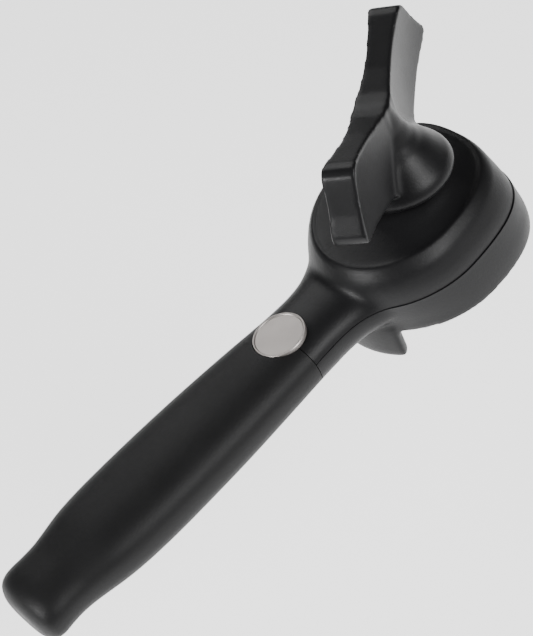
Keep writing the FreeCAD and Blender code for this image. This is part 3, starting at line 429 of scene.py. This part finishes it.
# %% Upper housing
grip = copy_of(upper, "soft_grip")
slice_off(upper, (0, 0, SEAM + GAP), (0, 0, -1))
slice_off(upper, (GRIP_FRONT + GAP, 0, 0), (-1, 0, 0))
room = cavity(SEAM - 4, DECK_UNDER)
for low, x, radius in ((12.0, PIVOT_X, 9.2), (23.0, AXLE_X, 8.4)):
    carve(room, prism(low, DECK_UNDER + 1, x, 0.0, radius, radius))
bore = joined([prism(22.0, ABOVE, AXLE_X, 0.0, 6.05, 6.05),
               prism(32.0, ABOVE, AXLE_X, 0.0, 8.05, 8.05)])
carve(upper, room)
carve(upper, bore)
carve(upper, badge_seat())
print("upper housing:", len(upper.data.polygons), "faces")

# %% Lower housing
slice_off(lower, (0, 0, SEAM - GAP), (0, 0, 1))
slice_off(lower, (GRIP_FRONT + GAP, 0, 0), (-1, 0, 0))
carve(lower, cavity(FLOOR_TOP, SEAM + 4))
carve(lower, prism(-12.0, 2.0, 5.2, 0.0, 28.7, 28.2, 3.0))
for x, radius in ((AXLE_X, 8.6), (PIVOT_X, 10.1)):
    carve(lower, prism(-2.0, 6.0, x, 0.0, radius, radius))
print("lower housing:", len(lower.data.polygons), "faces")

# %% Grip
slice_off(grip, (GRIP_FRONT - GAP, 0, 0), (1, 0, 0))
carve(grip, core_bar(-148.0, -50.0))
carve(grip, badge_seat())
print("grip:", len(grip.data.polygons), "faces")

# %% [markdown]
# ## The key
# The butterfly key is a bell under two wings. The bell is a profile spun about the shaft.
# Each wing is a slab with its side faces scooped out, and the scoops bite into the bell and
# leave a crest on it. Everything is made along X first, then turned to the key's own angle.
# The far side of both wings stands EXTRA further out than the near side. That too was set
# by comparing one view.

# %% Numbers of the key, in millimetres from the shaft's axis
KEY_TURN = math.radians(32.5)
BELL = [(0.0, 35.0), (15.6, 35.0), (17.2, 35.5), (17.95, 36.9), (17.8, 38.1), (16.9, 39.9),
        (15.1, 42.2), (12.9, 45.1), (10.6, 48.0), (8.5, 51.5), (6.9, 55.5), (5.9, 59.5),
        (5.5, 62.0), (5.5, 64.3), (5.2, 64.7), (0.0, 64.7)]
WING = [(0.0, 39.0), (15.0, 41.0), (30.0, 46.2), (43.2, 51.2), (46.0, 53.3), (46.3, 55.6),
        (42.6, 61.6), (38.6, 69.2), (37.2, 71.8), (35.0, 73.2), (32.0, 73.0), (24.0, 70.4),
        (14.0, 67.2), (5.2, 65.1), (0.0, 64.6)]
HALF_THICK, EXTRA = 5.1, 1.2
KEY_FOOT, BORE_TOP, BORE_RADIUS = 34.0, 54.0, 4.45
print("bell:", len(BELL), "points, wing:", len(WING), "points")


# %% Bell and wings

def bell_radius(height):
    """Radius of the bell's outer profile at a height."""
    for (low_r, low), (high_r, high) in zip(BELL[3:], BELL[4:]):
        if low <= height <= high and high > low:
            return low_r + (high_r - low_r) * (height - low) / (high - low)
    return BELL[3][0] if height < BELL[3][1] else BELL[-3][0]


def bell_solid():
    bm = bmesh.new()
    verts = [bm.verts.new(Vector((r, 0.0, z)) * MM) for r, z in BELL]
    edges = [bm.edges.new(pair) for pair in zip(verts, verts[1:])]
    bmesh.ops.spin(bm, geom=verts + edges, cent=(0, 0, 0), axis=(0, 0, 1), angle=2 * math.pi,
                   steps=96, use_merge=True)
    bmesh.ops.remove_doubles(bm, verts=bm.verts, dist=1e-6)
    bmesh.ops.recalc_face_normals(bm, faces=bm.faces)
    return mesh_object(bm, "bell")


def wing_solid():
    """Both wings as one slab, extruded from their outline."""
    bm = bmesh.new()
    outline = WING + [(-x, z) for x, z in reversed(WING[1:-1])]
    verts = [bm.verts.new(Vector((x, -HALF_THICK, z)) * MM) for x, z in outline]
    face = bm.faces.new(verts)
    grown = bmesh.ops.extrude_face_region(bm, geom=[face])
    moved = [item for item in grown["geom"] if isinstance(item, bmesh.types.BMVert)]
    bmesh.ops.translate(bm, verts=moved, vec=(0, (2 * HALF_THICK + EXTRA) * MM, 0))
    bmesh.ops.recalc_face_normals(bm, faces=bm.faces)
    return mesh_object(bm, "wings")


print("bell and wings ready")

# %% Scoops
SCOOP_LOW, SCOOP_RISE, SCOOP_REACH, SCOOP_FAR = 36.0, 44.0, 52.0, 30.0
CREST_HALF, CREST_SHARE = 6.4, 0.92
SHALLOW, ALONG_FLARE, RISE_FLARE, WALL = 2.75, 1.9, 0.9, 6.0


def scoop(side, end):
    """The hollow in one side face of one wing: a curved sheet, thickened outwards."""
    bm = bmesh.new()
    made = bmesh.ops.create_grid(bm, x_segments=48, y_segments=40, size=1.0)
    for vert in made["verts"]:
        along, rise = (vert.co.x + 1) / 2, (vert.co.y + 1) / 2
        height = SCOOP_LOW + SCOOP_RISE * rise
        crest = min(CREST_HALF, CREST_SHARE * bell_radius(height))
        inner = math.sqrt(max(0.0, bell_radius(height) ** 2 - crest ** 2)) - 0.3
        reach = inner + (SCOOP_REACH - inner) * along ** 1.5
        depth = (SHALLOW + ALONG_FLARE * ((reach - 24.0) / 20.0) ** 2
                 + RISE_FLARE * ((height - 55.0) / 14.0) ** 2)
        depth += max(0.0, side) * EXTRA
        wall = WALL * math.exp(-((reach - inner) / 0.9) ** 1.2)
        vert.co = Vector((end * reach, side * (depth + wall), height)) * MM
    grown = bmesh.ops.extrude_face_region(bm, geom=bm.faces[:])
    moved = [item for item in grown["geom"] if isinstance(item, bmesh.types.BMVert)]
    for vert in moved:
        vert.co.y = side * SCOOP_FAR * MM
    bmesh.ops.recalc_face_normals(bm, faces=bm.faces)
    return mesh_object(bm, "scoop")


print("scoops ready")

# %% Key
key = joined([bell_solid(), wing_solid()])
for side in (-1, 1):
    for end in (-1, 1):
        carve(key, scoop(side, end))
key = melt([key], (0.45) * MM, "turn_key")
relax(key, 10)
bm = bmesh.new()
bm.from_mesh(key.data)
bmesh.ops.rotate(bm, verts=bm.verts, cent=(0, 0, 0), matrix=Matrix.Rotation(KEY_TURN, 3, "Z"))
bmesh.ops.translate(bm, verts=bm.verts, vec=(AXLE.x, AXLE.y, 0.0))
bm.to_mesh(key.data)
bm.free()
carve(key, prism(KEY_FOOT, BORE_TOP, AXLE_X, 0.0, BORE_RADIUS, BORE_RADIUS))
print("key:", len(key.data.polygons), "faces")

# %% [markdown]
# ## The badge
# A small oval plaque of brushed metal: a low rim around a plain face. Each row below gives a
# ring's height and its two half widths.

# %% Badge
BADGE_TILT = math.radians(-1.5)
BADGE_ROWS = [(0.0, 8.8, 8.6), (1.35, 8.8, 8.6), (1.58, 8.6, 8.4),
              (1.62, 8.3, 8.1), (1.5, 8.05, 7.85), (1.25, 7.9, 7.7)]
tilt = Matrix.Translation((BADGE_X, 0.0, BADGE_LOW)) @ Matrix.Rotation(BADGE_TILT, 4, "Y")
badge = skin([(tilt @ Matrix.Translation((0, 0, z)), a, b, 2.0) for z, a, b in BADGE_ROWS],
             "badge_plaque")
print("badge:", len(badge.data.polygons), "faces")

# %% [markdown]
# ## Finishes
# A small class wraps a shader socket so that masks can be written as sums and products.


# %% Shader arithmetic
class Flow:
    """A socket, or a number, that can be added and multiplied."""

    def __init__(self, finish, socket):
        self.finish, self.socket = finish, socket

    def maths(self, operation, first, second):
        return self.finish.node("ShaderNodeMath", {"operation": operation}, {0: first, 1: second})

    def __add__(self, other):
        return self.maths("ADD", self, other)

    def __mul__(self, other):
        return self.maths("MULTIPLY", self, other)

    __radd__, __rmul__ = __add__, __mul__


class Finish:
    """One material and the nodes in it."""

    def __init__(self, name, **shader):
        self.material = bpy.data.materials.new(name)
        self.material.use_nodes = True
        self.tree = self.material.node_tree
        self.shader = self.tree.nodes["Principled BSDF"]
        for socket, value in shader.items():
            self.shader.inputs[socket.replace("_", " ")].default_value = value

    def node(self, kind, settings=None, inputs=None, output=0):
        made = self.tree.nodes.new(kind)
        for key, value in (settings or {}).items():
            setattr(made, key, value)
        for socket, value in (inputs or {}).items():
            if isinstance(value, Flow):
                self.tree.links.new(value.socket, made.inputs[socket])
            else:
                made.inputs[socket].default_value = value
        return Flow(self, made.outputs[output])

    def feed(self, socket, flow):
        self.tree.links.new(flow.socket, self.shader.inputs[socket])

    def place(self):
        return self.node("ShaderNodeTexCoord", output=3)

    def noise(self, size, detail=2.0, stretch=(1, 1, 1)):
        """Noise with features of about a given size in millimetres."""
        spread = self.node("ShaderNodeMapping", {}, {"Vector": self.place(), "Scale": stretch})
        return self.node("ShaderNodeTexNoise", {}, {
            "Vector": spread, "Scale": 1.0 / (size * MM), "Detail": detail, "Roughness": 0.5})

    def bump(self, height, depth):
        """Bump of a given depth in millimetres."""
        self.feed("Normal", self.node("ShaderNodeBump", {}, {
            "Height": height, "Distance": depth * MM, "Strength": 1.0}))


print("shader arithmetic ready")

SHARP = math.radians(38.0)


# %% Dressing a piece
def dress(piece, finish, body, replaced=()):
    """Give a new piece its material and body, smooth its shading, and hide the parts that it
    replaces.
    """
    piece.data.materials.clear()
    piece.data.materials.append(finish.material)
    piece.data.shade_smooth()
    piece.data.set_sharp_from_angle(angle=SHARP)
    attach(piece, body)
    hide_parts(*replaced)


print("dressing ready")

# %% [markdown]
# ### Black mouldings
# Moulded plastic is never quite smooth: a spark-eroded mould leaves a fine grain, which
# breaks a highlight into speckles. Two sizes of noise drive the bump, and a slow one makes
# the gloss drift a little, as handling does.


# %% Plastics
def grained(name, colour, gloss, grain, depth):
    finish = Finish(name, Specular_IOR_Level=0.2)
    fine, coarse, slow = finish.noise(grain, 3.0), finish.noise(grain * 3.2), finish.noise(14.0)
    finish.bump(fine * 0.7 + coarse * 0.5, depth * 1.8)
    finish.feed("Roughness", slow * 0.10 + fine * 0.20 + (gloss - 0.15))
    tint = finish.node("ShaderNodeMix", {"data_type": "RGBA"}, {
        0: slow, 6: (*colour, 1.0), 7: (*(shade * 1.35 for shade in colour), 1.0)}, output=2)
    finish.feed("Base Color", tint)
    return finish


shell = grained("shell_plastic", (0.0065, 0.0065, 0.0070), 0.42, 0.34, 0.035)
soft = grained("grip_rubber", (0.0065, 0.0065, 0.0068), 0.50, 0.30, 0.040)
key_plastic = grained("key_plastic", (0.0065, 0.0065, 0.0070), 0.36, 0.34, 0.025)
dress(upper, shell, "housing", ["upper_housing"])
dress(lower, shell, "housing", ["lower_housing"])
dress(grip, soft, "housing", ["handle_grip"])
dress(key, key_plastic, "drive", ["turn_knob"])
print("plastics dressed")

# %% [markdown]
# ### Metals
# The badge and the wheels are steel. Long thin noise makes the brushed grain.


# %% Metals
def metal(name, colour, gloss, size, stretch=(1, 1, 1), depth=0.01, stain=0.0, sheen=1.0):
    finish = Finish(name, Metallic=sheen)
    lines, slow = finish.noise(size, 3.0, stretch), finish.noise(6.0)
    finish.bump(lines, depth)
    finish.feed("Roughness", lines * 0.14 + slow * 0.08 + (gloss - 0.11))
    darker = tuple(shade * (0.86 - stain) for shade in colour)
    tint = finish.node("ShaderNodeMix", {"data_type": "RGBA"}, {
        0: slow, 6: (*colour, 1.0), 7: (*darker, 1.0)}, output=2)
    finish.feed("Base Color", tint)
    return finish


badge_metal = metal(
    "badge_metal", (0.36, 0.335, 0.32), 0.42, 0.25, (0.04, 1, 1), 0.012, sheen=0.7)
dress(badge, badge_metal, "housing", ["badge"])
METALS = {
    "plate_steel": metal("plate_steel", (0.58, 0.58, 0.58), 0.36, 0.3, (1, 0.05, 1)),
    "hardened_steel": metal("hardened_steel", (0.46, 0.46, 0.47), 0.30, 0.2, (1, 1, 0.05)),
    "wheel_steel": metal("wheel_steel", (0.56, 0.56, 0.57), 0.25, 0.15, (1, 1, 0.1)),
    "gear_steel": metal("gear_steel", (0.34, 0.33, 0.32), 0.46, 0.5, depth=0.02, stain=0.2),
    "screw_steel": metal("screw_steel", (0.62, 0.63, 0.66), 0.28, 0.4),
    "spring_steel": metal("spring_steel", (0.27, 0.26, 0.26), 0.34, 0.3, stain=0.15),
    "bush_bronze": metal("bush_bronze", (0.56, 0.36, 0.17), 0.42, 0.35, depth=0.02, stain=0.2),
}
METALS["washer_nylon"] = grained("washer_nylon", (0.60, 0.59, 0.54), 0.5, 0.6, 0.01)
slots = {part["node"]: part["material_slot"] for part in frame["record"]["subparts"]}
for name, node in frame["nodes"].items():
    if slots[name] in METALS:
        node.data.materials.clear()
        node.data.materials.append(METALS[slots[name]].material)
print("metals:", ", ".join(METALS))

# %% [markdown]
# ## Studio
# A pale table that glows a little, in a dim surround, so that the background stays pale and
# the black mouldings stay dark. Three square lights face the opener: the key light stands
# front right, a smaller one on the left and a weak one behind.

# %% Table and surround
TABLE_DROP, TABLE_GLOW, SURROUND = -0.16, 1.4, 0.06
bm = bmesh.new()
bmesh.ops.create_grid(bm, x_segments=1, y_segments=1, size=4.0)
bmesh.ops.translate(bm, verts=bm.verts, vec=(0, 0, TABLE_DROP))
floor = mesh_object(bm, "table_top")
table = Finish("table_white", Roughness=0.8)
table.shader.inputs["Base Color"].default_value = (0.93, 0.93, 0.93, 1.0)
table.shader.inputs["Emission Color"].default_value = (1.0, 1.0, 1.0, 1.0)
table.shader.inputs["Emission Strength"].default_value = TABLE_GLOW
floor.data.materials.append(table.material)
world = bpy.data.worlds.new("tent")
bpy.context.scene.world = world
world.use_nodes = True
world.node_tree.nodes["Background"].inputs["Color"].default_value = (1.0, 1.0, 1.0, 1.0)
world.node_tree.nodes["Background"].inputs["Strength"].default_value = SURROUND
print("table and surround ready")


# %% Lights
def panel(name, place, size, power):
    """A square soft light that faces the opener."""
    lamp = bpy.data.lights.new(name, "AREA")
    lamp.shape, lamp.size, lamp.energy = "SQUARE", size, power
    stand = bpy.data.objects.new(name, lamp)
    stand.location = place
    aim = Vector((-0.04, 0.0, 0.03)) - Vector(place)
    stand.rotation_euler = aim.to_track_quat("-Z", "Y").to_euler()
    bpy.context.scene.collection.objects.link(stand)


panel("key_light", (0.25, -0.85, 0.70), 0.5, 12.0)
panel("left_light", (-0.80, 0.05, 0.50), 0.3, 9.0)
panel("back_light", (0.30, 0.85, 0.75), 0.6, 4.0)
print("lights ready")
